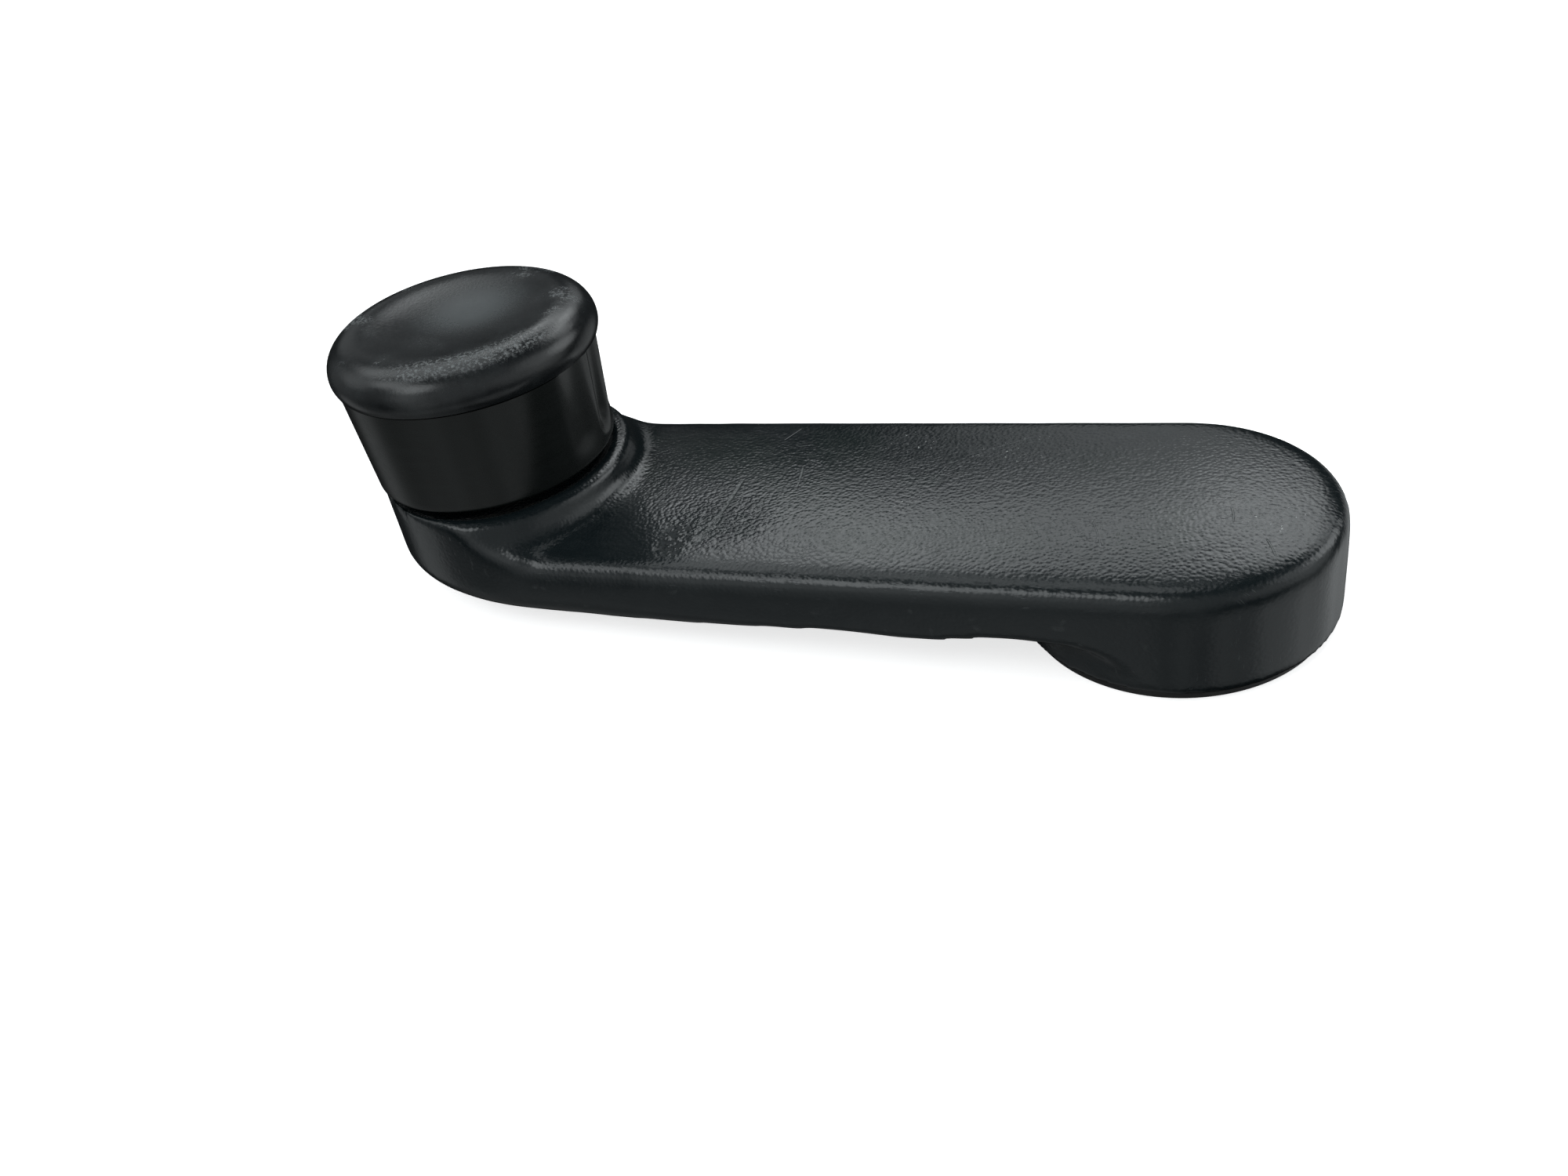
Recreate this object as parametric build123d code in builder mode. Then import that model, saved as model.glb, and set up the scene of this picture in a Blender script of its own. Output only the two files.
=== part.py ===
from build123d import *
import os
from math import atan, degrees

# Window winder handle: a hollow moulded crank on a splined hub, with a spinning finger knob.
# The spindle axis is Z. Z = 0 is the face of the bearing ring that runs on the door trim.
# The knob stands on the crank's -X end. All sizes are in millimetres.

# Crank
hub_radius = 18.0
crank_radius = 85.8
neck_half_width = 17.6      # half width where the rounded knob end begins
neck_x = -76.0
end_length = 25.8           # rounded end, from neck_x to the tip
edge_top_z = 13.9           # top surface at the hub's rim
crown = 1.1                 # extra height along the middle of the top
top_fall = 0.0425           # fall of the top per millimetre towards the knob
top_edge_radius = 2.2
nod_radius = 130.0          # the top bends down over the hub's end
nod_angle = 11.0
wall = 2.3
roof = 2.4
hub_floor_z = 1.1           # lower rim of the hub's wall
end_floor_z = 2.7           # lower rim at the knob end
end_rounding = 3.4

# Collar under the knob
collar_radius = 17.3
collar_top_z = 15.5
collar_lip = 1.0             # rounding of its upper edge
collar_foot_radius = 20.6
collar_foot_z = 11.3
recess_radius = 14.7
recess_z = 14.2
web_z = 11.8

# Hub inside
bead_radius = 8.2            # snap bead that keeps the bearing ring on the boss
boss_shaft = bead_radius - 0.6
boss_floor_z = 0.0           # the bush's mouth is level with the bearing ring
bush_radius = 6.2
bush_top_z = 10.4
pilot_radius = 4.6
pilot_end_z = 3.1
spline_root = 4.3
spline_tip = 3.85
spline_count = 24
clip_wire = 0.8             # wire radius
clip_leg_y = 4.5
clip_z = 4.1
clip_room = clip_leg_y + clip_wire + 0.5   # half width of the clip's way out

# Knob
knob_floor_z = 16.3
sleeve_top_z = 30.1
sleeve_bottom_radius = 15.5
sleeve_top_radius = 16.35
sleeve_wall = 2.1
pin_radius = 3.5
pin_tail_radius = 3.0
pin_flange_radius = 6.0
running_gap = 0.06
cap_radius = 16.95
cap_top_z = 35.4
cap_dish = 0.9

os.makedirs("parts", exist_ok=True)
knob = Location((-crank_radius, 0, 0))


def finish(piece, name):
    piece.part.label = name
    export_step(piece.part, "parts/" + name + ".step")


def crank_outline(inset):
    """Plan of the crank: round hub, near-parallel sides, blunt elliptical knob end."""
    hub = hub_radius - inset
    side = neck_half_width - inset
    with BuildSketch() as outline:
        with BuildLine():
            CenterArc((0, 0), hub, -90, 180)
            Line((0, hub), (neck_x, side))
            EllipticalCenterArc((neck_x, 0), end_length - inset, side,
                                start_angle=90, arc_size=180)
            Line((neck_x, -side), (0, -hub))
        make_face()
    return outline.sketch


def crowned_block(drop):
    """Everything below the crowned top, which falls to the knob and nods over the hub's end."""
    reach = hub_radius + 4
    side = -2 * crown * (reach - hub_radius) / hub_radius
    hub_top = edge_top_z - drop
    with BuildPart() as block:
        with BuildLine(Plane.XZ) as ridge:
            back = Line((-crank_radius - 30, hub_top - top_fall * (crank_radius + 30)), (-2, hub_top))
            JernArc(back @ 1, back % 1, nod_radius, -nod_angle)
        with BuildSketch(Plane(back @ 0, x_dir=(0, 1, 0), z_dir=back % 0)):
            with BuildLine():
                ThreePointArc((-reach, side), (0, crown), (reach, side))
                Line((reach, side), (reach, -25))
                Line((reach, -25), (-reach, -25))
                Line((-reach, -25), (-reach, side))
            make_face()
        sweep(path=ridge.line)
    return block.part


def skirt_cut(lift):
    """What lies under the wavy lower edge of the skirt, lifted by lift."""
    wave = [(-66, 3.3), (-51, 4.2), (-41, 5.0), (-34, 5.45), (-27.5, 5.2), (-21, 5.9),
            (-15, 6.7), (-11, 6.55), (-7, 6.0), (-2.7, 4.1), (0.2, 1.9)]
    curve = [(x, z + lift) for x, z in wave]
    start = (neck_x, end_floor_z + lift)
    last = (3.0, hub_floor_z + lift)
    with BuildPart() as cut:
        with BuildSketch(Plane.XZ):
            with BuildLine():
                Spline([start] + curve + [last])
                Line(last, (3.0, -6))
                Line((3.0, -6), (neck_x, -6))
                Line((neck_x, -6), start)
            make_face()
        extrude(amount=hub_radius + 4, both=True)
    return cut.part


# Outer form of the crank, before it is hollowed
with BuildPart() as form:
    with BuildSketch(Plane.XY.offset(end_floor_z)):
        add(crank_outline(0))
    extrude(amount=20)
    add(crowned_block(0), mode=Mode.INTERSECT)
    top_edges = form.edges().filter_by(lambda e: e.center().Z > 8 and e.length > 10)
    fillet(top_edges, top_edge_radius)
    end_edge = form.edges().filter_by(GeomType.ELLIPSE).sort_by(Axis.Z)[0]
    fillet(end_edge, end_rounding)

# Collar that rises round the knob's foot, flared into the crank's top
collar_floor_z = 6.0
with BuildPart() as collar:
    with BuildSketch(Plane.XZ):
        with BuildLine():
            shoulder_z = collar_top_z - collar_lip
            foot = (collar_foot_radius, collar_foot_z)
            Line((0, collar_floor_z), (collar_foot_radius, collar_floor_z))
            Line((collar_foot_radius, collar_floor_z), foot)
            shoulder = (collar_radius, shoulder_z)
            Bezier(foot, (collar_radius + 0.9, collar_foot_z + 0.8),
                   (collar_radius + 0.2, shoulder_z - 1.4), shoulder)
            lip = RadiusArc(shoulder, (collar_radius - collar_lip, collar_top_z), -collar_lip)
            Line(lip @ 1, (0, collar_top_z))
            Line((0, collar_top_z), (0, collar_floor_z))
        make_face()
    revolve(axis=Axis.Z)
with BuildPart() as collar_in_plan:
    with Locations(knob):
        add(collar.part)
    with BuildSketch(Plane.XY.offset(5)):
        add(crank_outline(0))
    extrude(amount=12, mode=Mode.INTERSECT)

# Grid of ribs that stands in the crank's hollow
rib = 1.5
rib_lanes = [-6.7, 6.7]
rib_step = 11.0
rib_start_x = -28.6
ribs_end_x = -70.0
with BuildPart() as ribs:
    with Locations([((ribs_end_x - hub_radius) / 2, y, 6) for y in rib_lanes]):
        Box(-ribs_end_x - hub_radius + 2, rib, 20)
    with Locations([(rib_start_x - step * rib_step, 0, 6) for step in range(4)]):
        Box(rib, 2 * hub_radius, 20)
    with Locations((-hub_radius - 6, 0, -2)):
        Box(20, 2 * clip_room, 16, mode=Mode.SUBTRACT)

# Hollow of the crank, leaving the hub's wall, its boss and the knob's boss standing
pin_boss_radius = 6.6
pin_boss_floor_z = 5.2
hub_wall_inner = hub_radius - wall
with BuildPart() as hollow:
    with BuildSketch(Plane.XY.offset(-2)):
        add(crank_outline(wall))
    extrude(amount=20)
    add(crowned_block(roof), mode=Mode.INTERSECT)
    with Locations(knob * Location((0, 0, web_z - 5))):
        Cylinder(recess_radius - 1.2, 10)
    with Locations((0, 0, 5)):
        Cylinder(boss_shaft, 14, mode=Mode.SUBTRACT)
    with Locations(knob * Location((0, 0, pin_boss_floor_z + 5))):
        Cylinder(pin_boss_radius, 10, mode=Mode.SUBTRACT)
    with BuildSketch(Plane.XY.offset(-2)):
        Circle(hub_radius - 0.1)
        Circle(hub_wall_inner, mode=Mode.SUBTRACT)
        with Locations((hub_radius / 2, 0)):
            Rectangle(hub_radius, 3 * hub_radius, mode=Mode.SUBTRACT)
    extrude(amount=20, mode=Mode.SUBTRACT)
    add(ribs.part, mode=Mode.SUBTRACT)
    with Locations((-hub_radius - 4, 0, clip_z)):
        Box(16, 2 * clip_room, 2 * clip_wire + 1.0)

# Webs from the hub's boss to its wall and from the knob's boss to the end wall
web = 1.4
with BuildPart() as webs:
    with PolarLocations(0, 6, start_angle=30):
        with Locations((hub_radius / 2, 0, 9.0)):
            Box(hub_radius - 1, web, 6)
    with Locations(knob):
        with PolarLocations(0, 6, start_angle=30):
            with Locations((recess_radius / 2, 0, 9.0)):
                Box(recess_radius + 0.4, web, 7)

# The ribs end short of the skirt
with BuildPart() as rib_trim:
    with BuildSketch(Plane.XY.offset(-2)):
        add(crank_outline(wall))
        Circle(hub_radius, mode=Mode.SUBTRACT)
    extrude(amount=20)
    add(skirt_cut(0.8), mode=Mode.INTERSECT)

slot = 2 * clip_wire + 0.3
with BuildPart() as crank_arm:
    add(form.part)
    with BuildSketch(Plane.XY.offset(hub_floor_z)):
        add(crank_outline(0))
        with Locations((neck_x - 6, 0)):
            Rectangle(2 * crank_radius - 20, 3 * hub_radius, mode=Mode.SUBTRACT)
    extrude(amount=6)
    add(collar_in_plan.part)
    add(skirt_cut(0), mode=Mode.SUBTRACT)
    with Locations((0, 0, (hub_floor_z + 11) / 2)):
        Cylinder(hub_radius - 0.1, 11 - hub_floor_z)
    add(hollow.part, mode=Mode.SUBTRACT)
    add(webs.part)
    add(rib_trim.part, mode=Mode.SUBTRACT)
    # boss round the splined bush, its snap bead, and the slots for the clip's legs
    with Locations((0, 0, (boss_floor_z + 11) / 2)):
        Cylinder(boss_shaft, 11 - boss_floor_z)
    with Locations((0, 0, boss_floor_z + 0.7)):
        Cylinder(bead_radius, 0.6)
    with Locations((0, 0, (boss_floor_z + bush_top_z) / 2)):
        Cylinder(bush_radius, bush_top_z - boss_floor_z, mode=Mode.SUBTRACT)
    with Locations((0, clip_leg_y, clip_z), (0, -clip_leg_y, clip_z)):
        Box(2 * bead_radius + 2, slot, slot, mode=Mode.SUBTRACT)
    # seat for the knob's foot and the bore for its pin
    with Locations(knob * Location((0, 0, recess_z + 2))):
        Cylinder(recess_radius, 4, mode=Mode.SUBTRACT)
    with Locations(knob * Location((0, 0, 8))):
        Cylinder(pin_tail_radius, 20, mode=Mode.SUBTRACT)
finish(crank_arm, "crank_arm")


# Metal bush with a plain mouth and a serrated bore, closed at its top
bush_roof = 1.2
with BuildPart() as spline_bush:
    with Locations((0, 0, (boss_floor_z + bush_top_z) / 2)):
        Cylinder(bush_radius, bush_top_z - boss_floor_z)
    with Locations((0, 0, (boss_floor_z + pilot_end_z) / 2)):
        Cylinder(pilot_radius, pilot_end_z - boss_floor_z, mode=Mode.SUBTRACT)
    with BuildSketch(Plane.XY.offset(pilot_end_z)):
        Circle(spline_tip)
        with PolarLocations(0, spline_count):
            half_tooth = 0.42
            tooth_foot = spline_tip - 0.3
            Polygon((tooth_foot, -half_tooth), (spline_root, 0), (tooth_foot, half_tooth), align=None)
    extrude(amount=bush_top_z - bush_roof - pilot_end_z, mode=Mode.SUBTRACT)
    with Locations((0, clip_leg_y, clip_z), (0, -clip_leg_y, clip_z)):
        Box(2 * bead_radius + 2, slot, slot, mode=Mode.SUBTRACT)
finish(spline_bush, "spline_bush")

# Horseshoe clip: two straight legs through the boss, joined by a bow
leg_tip_x = 7.0
bow_x = -9.3
with BuildPart() as retaining_clip:
    with BuildLine(Plane.XY.offset(clip_z)) as wire:
        leg = Line((leg_tip_x, -clip_leg_y), (bow_x, -clip_leg_y))
        CenterArc((bow_x, 0), clip_leg_y, -90, -180)
        Line((bow_x, clip_leg_y), (leg_tip_x, clip_leg_y))
    with BuildSketch(Plane(leg @ 0, z_dir=leg % 0)):
        Circle(clip_wire)
    sweep(path=wire.line)
finish(retaining_clip, "retaining_clip")

# Bearing ring that turns between the crank and the door trim
ring_radius = 16.9
ring_top_z = 2.4
ring_bore = bead_radius - 0.3
ring_step_z = 1.35
ring_flange_z = 0.85
ring_pad_radius = 12.4
ring_land_radius = hub_wall_inner - 0.5
with BuildPart() as bearing_ring:
    with BuildSketch(Plane.XZ):
        with BuildLine():
            Polyline((ring_bore, ring_step_z), (ring_pad_radius, ring_step_z), (ring_pad_radius, 0),
                     (ring_radius, 0), (ring_radius, ring_flange_z), (ring_land_radius, ring_flange_z),
                     (ring_land_radius, ring_top_z), (ring_bore, ring_top_z), close=True)
        make_face()
    revolve(axis=Axis.Z)
    circles = bearing_ring.edges().filter_by(GeomType.CIRCLE)
    fillet(circles.filter_by(lambda edge: edge.radius > ring_radius - 0.01), 0.3)
    with PolarLocations(0, 12):
        with Locations(((bead_radius + ring_pad_radius) / 2 + 0.5, 0, 0.95)):
            Box(ring_pad_radius - bead_radius - 0.6, 1.0, 1.0)
finish(bearing_ring, "bearing_ring")

# Steel pin riveted through the crank, and the washer under its riveted end
washer_z = pin_boss_floor_z - 1.0
washer_floor = recess_z + 1.1   # top of the pin's flange, where the nylon washer lies
pin_top_z = 29.4
with BuildPart() as knob_pin:
    with BuildSketch(Plane.XZ):
        with BuildLine():
            Polyline((0, recess_z), (0, pin_top_z), (pin_radius - 0.6, pin_top_z),
                     (pin_radius, pin_top_z - 0.8), (pin_radius, washer_floor),
                     (pin_flange_radius, washer_floor), (pin_flange_radius, recess_z), close=True)
        make_face()
    revolve(axis=Axis.Z)
    with Locations((0, 0, (recess_z + washer_z) / 2)):
        Cylinder(pin_tail_radius, recess_z - washer_z)
    with BuildSketch(Plane.XZ):
        with BuildLine():
            Line((0, washer_z), (4.4, washer_z))
            Spline((4.4, washer_z), (3.7, washer_z - 0.8), (0, washer_z - 1.3), tangents=((0, -1), (-1, 0)))
            Line((0, washer_z - 1.3), (0, washer_z))
        make_face()
    revolve(axis=Axis.Z)
knob_pin.part.locate(knob)
finish(knob_pin, "knob_pin")

with BuildPart() as rivet_washer:
    with Locations(knob * Location((0, 0, washer_z + 0.5))):
        Cylinder(pin_flange_radius, 1.0)
        Cylinder(pin_tail_radius, 1.0, mode=Mode.SUBTRACT)
finish(rivet_washer, "rivet_washer")

with BuildPart() as thrust_washer:
    with Locations(knob * Location((0, 0, washer_floor + 0.45))):
        Cylinder(7.6, 0.9)
        Cylinder(pin_radius, 0.9, mode=Mode.SUBTRACT)
finish(thrust_washer, "thrust_washer")

# Knob sleeve: a flared shell round a bearing tube, with finger flutes on two sides
tube_radius = 6.4
tube_top_z = 26.6
floor_z = 23.4
flute_radius = 2.6
flute_depth = 0.75
flute_angles = [-12, 11, 34, 168, 191, 214]
sleeve_length = sleeve_top_z - knob_floor_z
flare = (sleeve_top_radius - sleeve_bottom_radius) / sleeve_length
with BuildPart() as knob_sleeve:
    with BuildSketch(Plane.XZ):
        with BuildLine():
            inner_bottom = sleeve_bottom_radius - sleeve_wall
            inner_top = sleeve_top_radius - sleeve_wall
            Polyline((inner_bottom, knob_floor_z), (sleeve_bottom_radius, knob_floor_z),
                     (sleeve_top_radius, sleeve_top_z), (inner_top, sleeve_top_z), close=True)
        make_face()
    revolve(axis=Axis.Z)
    foot = knob_sleeve.edges().filter_by(GeomType.CIRCLE).group_by(Axis.Z)[0].sort_by(SortBy.RADIUS)[-1]
    fillet(foot, 0.6)
    for angle in flute_angles:
        axis_radius = sleeve_bottom_radius + flute_radius - flute_depth
        turn = Location((0, 0, 0), (0, 0, angle))
        foot_of_flute = turn * Location((axis_radius, 0, knob_floor_z + 3.2))
        with Locations(foot_of_flute):
            Sphere(flute_radius, mode=Mode.SUBTRACT)
        with Locations(foot_of_flute * Location((flare * 7, 0, 7), (0, degrees(atan(flare)), 0))):
            Cylinder(flute_radius, 14, mode=Mode.SUBTRACT)
    with Locations((0, 0, (knob_floor_z + tube_top_z) / 2)):
        Cylinder(tube_radius, tube_top_z - knob_floor_z)
    with Locations((0, 0, floor_z + 0.8)):
        Cylinder(inner_bottom + 0.5, 1.6)
    with PolarLocations(0, 6):
        with Locations((sleeve_bottom_radius / 2, 0, floor_z - 2.4)):
            Box(sleeve_bottom_radius - 2, 1.3, 6)
    with Locations((0, 0, (knob_floor_z + tube_top_z) / 2)):
        Cylinder(pin_radius + running_gap, sleeve_length, mode=Mode.SUBTRACT)
knob_sleeve.part.locate(knob)
finish(knob_sleeve, "knob_sleeve")

# Sprung washer and push nut that hold the sleeve on its pin
with BuildPart() as spring_washer:
    with BuildSketch(Plane.XZ):
        with BuildLine():
            Polyline((pin_radius + 0.1, tube_top_z + 0.45), (pin_radius + 0.1, tube_top_z + 0.95),
                     (6.2, tube_top_z + 0.55), (6.2, tube_top_z + 0.05), close=True)
        make_face()
    revolve(axis=Axis.Z)
spring_washer.part.locate(knob)
finish(spring_washer, "spring_washer")

nut_z = tube_top_z + 0.95
with BuildPart() as push_nut:
    with Locations(knob * Location((0, 0, nut_z + 0.35))):
        Cylinder(5.6, 0.7)
        Cylinder(pin_radius, 0.7, mode=Mode.SUBTRACT)
    with Locations(knob * Location((0, 0, nut_z + 0.35))):
        with PolarLocations(4.2, 6):
            Box(1.6, 0.7, 0.7, mode=Mode.SUBTRACT)
finish(push_nut, "push_nut")

# Cap that snaps into the top of the sleeve and covers the push nut
spigot_radius = 14.0
spigot_floor_z = 27.2
rim_z = sleeve_top_z + 1.4
crest_radius = 12.8
cap_foot_radius = sleeve_top_radius + 0.25
with BuildPart() as knob_cap:
    with BuildSketch(Plane.XZ):
        with BuildLine():
            Line((0, cap_top_z - cap_dish - 1.8), (0, cap_top_z - cap_dish))
            Spline((0, cap_top_z - cap_dish), (7.0, cap_top_z - 0.45), (crest_radius, cap_top_z),
                   tangents=((1, 0), (1, 0)))
            Spline((crest_radius, cap_top_z), (15.9, cap_top_z - 1.35), (cap_radius, rim_z),
                   tangents=((1, 0), (0, -1)))
            Spline((cap_radius, rim_z), (cap_foot_radius, sleeve_top_z), tangents=((0, -1), (-0.6, -1)))
            Polyline((cap_foot_radius, sleeve_top_z), (spigot_radius, sleeve_top_z),
                     (spigot_radius, spigot_floor_z), (spigot_radius - 1.3, spigot_floor_z),
                     (spigot_radius - 1.3, cap_top_z - 3.4), (crest_radius - 3, cap_top_z - 2.3),
                     (0, cap_top_z - cap_dish - 1.8))
        make_face()
    revolve(axis=Axis.Z)
knob_cap.part.locate(knob)
finish(knob_cap, "knob_cap")
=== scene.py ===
import math

import bpy
from mathutils import Matrix, Vector


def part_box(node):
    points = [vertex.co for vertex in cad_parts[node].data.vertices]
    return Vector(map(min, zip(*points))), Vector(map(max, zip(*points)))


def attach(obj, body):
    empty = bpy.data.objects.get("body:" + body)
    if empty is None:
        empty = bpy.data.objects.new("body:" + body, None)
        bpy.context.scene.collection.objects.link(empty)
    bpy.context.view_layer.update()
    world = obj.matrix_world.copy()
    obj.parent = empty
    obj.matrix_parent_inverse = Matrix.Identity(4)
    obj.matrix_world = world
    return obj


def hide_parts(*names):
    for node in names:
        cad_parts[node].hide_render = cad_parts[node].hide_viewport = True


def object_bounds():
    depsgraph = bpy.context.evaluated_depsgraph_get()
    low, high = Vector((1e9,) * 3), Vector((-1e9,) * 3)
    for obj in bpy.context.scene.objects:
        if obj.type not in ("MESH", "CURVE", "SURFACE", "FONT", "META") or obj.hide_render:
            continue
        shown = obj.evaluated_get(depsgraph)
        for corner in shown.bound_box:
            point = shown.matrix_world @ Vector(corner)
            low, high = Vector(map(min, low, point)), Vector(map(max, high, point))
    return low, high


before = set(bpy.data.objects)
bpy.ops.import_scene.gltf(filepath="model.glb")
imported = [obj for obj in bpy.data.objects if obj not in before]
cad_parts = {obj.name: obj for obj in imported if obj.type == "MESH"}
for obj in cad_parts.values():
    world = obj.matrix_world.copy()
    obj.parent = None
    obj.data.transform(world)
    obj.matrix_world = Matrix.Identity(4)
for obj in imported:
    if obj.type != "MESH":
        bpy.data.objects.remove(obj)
cadLow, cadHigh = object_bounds()
mm = 0.001
edgeAngle = 32  # edges sharper than this, in degrees, are bevelled
weld = 0.004 * mm  # points of a CAD node nearer than this are one

# places that several pieces share, read from the frame
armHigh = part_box("crank_arm")[1]
pinLow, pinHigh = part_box("knob_pin")
sleeveLow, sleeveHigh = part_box("knob_sleeve")
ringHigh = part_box("bearing_ring")[1]
clipLow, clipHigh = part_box("retaining_clip")
knobAxis = Vector(((pinLow.x + pinHigh.x) / 2, 0, 0))
hubAxis = Vector((0, 0, 0))
hubRadius = armHigh.x
print("frame loaded, knob axis at", round(knobAxis.x / mm, 2), "mm")


def deselectAll():
    if bpy.context.mode != "OBJECT":
        bpy.ops.object.mode_set(mode="OBJECT")
    bpy.ops.object.select_all(action="DESELECT")


def pickUp(piece):
    deselectAll()
    piece.select_set(True)
    bpy.context.view_layer.objects.active = piece


def applyAll(piece):
    pickUp(piece)
    for modifier in list(piece.modifiers):
        bpy.ops.object.modifier_apply(modifier=modifier.name)


def smoothShade(piece, angle):
    pickUp(piece)
    bpy.ops.object.shade_smooth_by_angle(angle=math.radians(angle))


def dress(piece, body, slotName, material, *replaced):
    piece.data.materials.clear()
    piece.data.materials.append(material)
    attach(piece, body)
    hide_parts(*replaced)
    print("made", piece.name, "with", len(piece.data.polygons), "faces")


def copyNode(nodeName, pieceName):
    # a merged copy of a CAD node, which itself stays as it is
    piece = bpy.data.objects.new(pieceName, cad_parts[nodeName].data.copy())
    bpy.context.collection.objects.link(piece)
    pickUp(piece)
    bpy.ops.object.mode_set(mode="EDIT")
    bpy.ops.mesh.select_all(action="SELECT")
    bpy.ops.mesh.remove_doubles(threshold=weld)
    bpy.ops.object.mode_set(mode="OBJECT")
    return piece


def remeshed(nodeName, pieceName, grain, passes):
    # the same solid as one even skin, with its edges softened as a mould or die leaves them
    piece = copyNode(nodeName, pieceName)
    remesh = piece.modifiers.new("evenSkin", "REMESH")
    remesh.mode = "VOXEL"
    remesh.voxel_size = grain
    soften = piece.modifiers.new("soften", "SMOOTH")
    soften.factor = 0.5
    soften.iterations = passes
    applyAll(piece)
    return piece


def selectOpenEdges():
    bpy.ops.mesh.select_all(action="DESELECT")
    bpy.ops.mesh.select_mode(type="EDGE")
    bpy.ops.mesh.select_non_manifold(extend=False, use_wire=False, use_boundary=True,
                                     use_multi_face=False, use_non_contiguous=False, use_verts=False)


def turned(name, axis, rings, segments, closing):
    # a circle pulled from ring to ring, each (radius, height); closing "ring" joins the last to the first,
    # and "disc" fills both
    radius, height = rings[0]
    deselectAll()
    bpy.ops.mesh.primitive_circle_add(vertices=segments, radius=radius, location=(axis.x, axis.y, height))
    piece = bpy.context.object
    piece.name = name
    bpy.ops.object.transform_apply(location=True, rotation=True, scale=True)
    bpy.ops.object.mode_set(mode="EDIT")
    bpy.ops.mesh.select_all(action="SELECT")
    for nextRadius, nextHeight in rings[1:]:
        bpy.ops.mesh.extrude_region_move(
            TRANSFORM_OT_translate={"value": (0, 0, nextHeight - height)})
        spread = nextRadius / radius
        bpy.ops.transform.resize(value=(spread, spread, 1),
                                 center_override=(axis.x, axis.y, nextHeight))
        radius, height = nextRadius, nextHeight
    if closing == "ring":
        selectOpenEdges()
        bpy.ops.mesh.bridge_edge_loops()
    else:
        bpy.ops.mesh.edge_face_add()
        selectOpenEdges()
        bpy.ops.mesh.edge_face_add()
    bpy.ops.mesh.select_all(action="SELECT")
    bpy.ops.mesh.normals_make_consistent(inside=False)
    bpy.ops.mesh.select_mode(type="VERT")
    bpy.ops.object.mode_set(mode="OBJECT")
    return piece


def bevelled(piece, width, segments):
    edge = piece.modifiers.new("edge", "BEVEL")
    edge.width = width
    edge.segments = segments
    edge.limit_method = "ANGLE"
    edge.angle_limit = math.radians(edgeAngle)
    applyAll(piece)


def newFinish(name):
    material = bpy.data.materials.new(name)
    material.use_nodes = True
    tree = material.node_tree
    tree.nodes.clear()
    shader = tree.nodes.new("ShaderNodeBsdfPrincipled")
    output = tree.nodes.new("ShaderNodeOutputMaterial")
    tree.links.new(shader.outputs[0], output.inputs[0])
    place = tree.nodes.new("ShaderNodeTexCoord").outputs["Object"]
    return material, tree, shader, place


def plug(tree, socket, value):
    if isinstance(value, bpy.types.NodeSocket):
        tree.links.new(value, socket)
    else:
        socket.default_value = value


def mapped(tree, place, turn=(0, 0, 0), stretch=(1, 1, 1), shift=(0, 0, 0)):
    node = tree.nodes.new("ShaderNodeMapping")
    plug(tree, node.inputs["Vector"], place)
    node.inputs["Rotation"].default_value = [math.radians(a) for a in turn]
    node.inputs["Scale"].default_value = stretch
    node.inputs["Location"].default_value = shift
    return node.outputs[0]


def noise(tree, place, size, detail, roughness=0.5):
    # size is the width of one patch in metres
    node = tree.nodes.new("ShaderNodeTexNoise")
    plug(tree, node.inputs["Vector"], place)
    node.inputs["Scale"].default_value = 1 / size
    node.inputs["Detail"].default_value = detail
    node.inputs["Roughness"].default_value = roughness
    return node.outputs["Fac"]


def pebbles(tree, place, size, smoothness):
    # the value is least at each pebble's middle, so the height is turned over where it is used
    node = tree.nodes.new("ShaderNodeTexVoronoi")
    node.feature = "SMOOTH_F1"
    plug(tree, node.inputs["Vector"], place)
    node.inputs["Scale"].default_value = 1 / size
    node.inputs["Smoothness"].default_value = smoothness
    return node.outputs["Distance"]


def mathNode(tree, operation, a, b=0.0, clamp=False):
    node = tree.nodes.new("ShaderNodeMath")
    node.operation = operation
    node.use_clamp = clamp
    plug(tree, node.inputs[0], a)
    plug(tree, node.inputs[1], b)
    return node.outputs[0]


def ramp(tree, value, low, high, outLow=0.0, outHigh=1.0):
    # an even rise from low to high, or a fall where low is the larger
    node = tree.nodes.new("ShaderNodeMapRange")
    node.interpolation_type = "SMOOTHSTEP"
    plug(tree, node.inputs["Value"], value)
    node.inputs["From Min"].default_value = low
    node.inputs["From Max"].default_value = high
    node.inputs["To Min"].default_value = outLow
    node.inputs["To Max"].default_value = outHigh
    return node.outputs[0]


def blendColour(tree, share, first, second):
    node = tree.nodes.new("ShaderNodeMix")
    node.data_type = "RGBA"
    plug(tree, node.inputs["Factor"], share)
    plug(tree, node.inputs["A"], first if isinstance(first, bpy.types.NodeSocket) else (*first, 1))
    plug(tree, node.inputs["B"], second if isinstance(second, bpy.types.NodeSocket) else (*second, 1))
    return node.outputs["Result"]


def bump(tree, height, depth, strength=1.0, under=None):
    node = tree.nodes.new("ShaderNodeBump")
    node.inputs["Distance"].default_value = depth
    node.inputs["Strength"].default_value = strength
    plug(tree, node.inputs["Height"], height)
    if under:
        plug(tree, node.inputs["Normal"], under)
    return node.outputs[0]


def vectorMath(tree, operation, a, b=(0, 0, 0)):
    node = tree.nodes.new("ShaderNodeVectorMath")
    node.operation = operation
    plug(tree, node.inputs[0], a)
    plug(tree, node.inputs[1], b)
    return node.outputs["Value" if operation in ("LENGTH", "DISTANCE", "DOT_PRODUCT") else "Vector"]


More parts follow.
